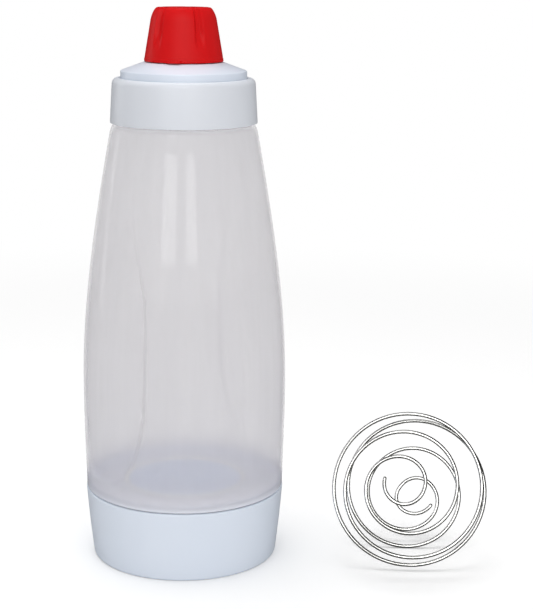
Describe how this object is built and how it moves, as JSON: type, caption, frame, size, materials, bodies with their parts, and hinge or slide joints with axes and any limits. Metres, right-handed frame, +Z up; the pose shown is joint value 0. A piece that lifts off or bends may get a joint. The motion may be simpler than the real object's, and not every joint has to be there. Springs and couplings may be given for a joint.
{
  "type": "cold foam dispenser",
  "caption": "Tall milky squeeze bottle with a screw-on white base and lid, a fluted red twist cap over its spout, and a loose wire whisk ball.",
  "frame": {"origin": "centre of the flat foot under the base cup", "axes": "+Z up along the bottle's axis, -Y towards the front of the picture, +X towards the whisk ball"},
  "size_m": [0.2077, 0.1039, 0.28],
  "materials": {
    "white_plastic": "moulded satin gloss",
    "milky_plastic": "milky translucent",
    "red_plastic": "moulded satin gloss",
    "silicone": "soft matt",
    "steel_wire": "polished stainless wire"
  },
  "bodies": {
    "base": {"base_cup": "white_plastic"},
    "base_seal": {"base_gasket": "silicone"},
    "bottle": {"bottle_body": "milky_plastic"},
    "lid": {"spout_dome": "white_plastic", "neck_gasket": "silicone", "spout_valve": "silicone", "valve_retainer": "white_plastic"},
    "collar": {"collar_ring": "white_plastic"},
    "cap_seal": {"cap_liner": "silicone"},
    "cap": {"twist_cap": "red_plastic"},
    "ball": {"whisk_ball": "steel_wire"}
  },
  "joints": [
    {"name": "bottle_rise", "type": "slide", "parent": "base", "child": "base_seal", "axis": [0, 0, 1], "range_m": [0, 0.0161]},
    {"name": "bottle_turn", "type": "hinge", "parent": "base_seal", "child": "bottle", "pos_m": [0, 0, 0.03], "axis": [0, 0, 1], "range_deg": [0, 720]},
    {"name": "lid_rise", "type": "slide", "parent": "bottle", "child": "lid", "axis": [0, 0, 1], "range_m": [0, 0.0301]},
    {"name": "collar_turn", "type": "hinge", "parent": "lid", "child": "collar", "pos_m": [0, 0, 0.233], "axis": [0, 0, 1], "range_deg": [0, 1080]},
    {"name": "cap_rise", "type": "slide", "parent": "lid", "child": "cap_seal", "axis": [0, 0, 1], "range_m": [0, 0.0281]},
    {"name": "cap_turn", "type": "hinge", "parent": "cap_seal", "child": "cap", "pos_m": [0, 0, 0.265], "axis": [0, 0, 1], "range_deg": [0, 1260]},
    {"name": "ball_lift", "type": "slide", "parent": "base", "child": "ball", "axis": [0, 0, 1], "range_m": [0, 0.3]}
  ],
  "couplings": [
    {"joint": "bottle_rise", "follows": "bottle_turn", "m_per_rad": 0.001273},
    {"joint": "lid_rise", "follows": "collar_turn", "m_per_rad": 0.001591},
    {"joint": "cap_rise", "follows": "cap_turn", "m_per_rad": 0.001273}
  ]
}
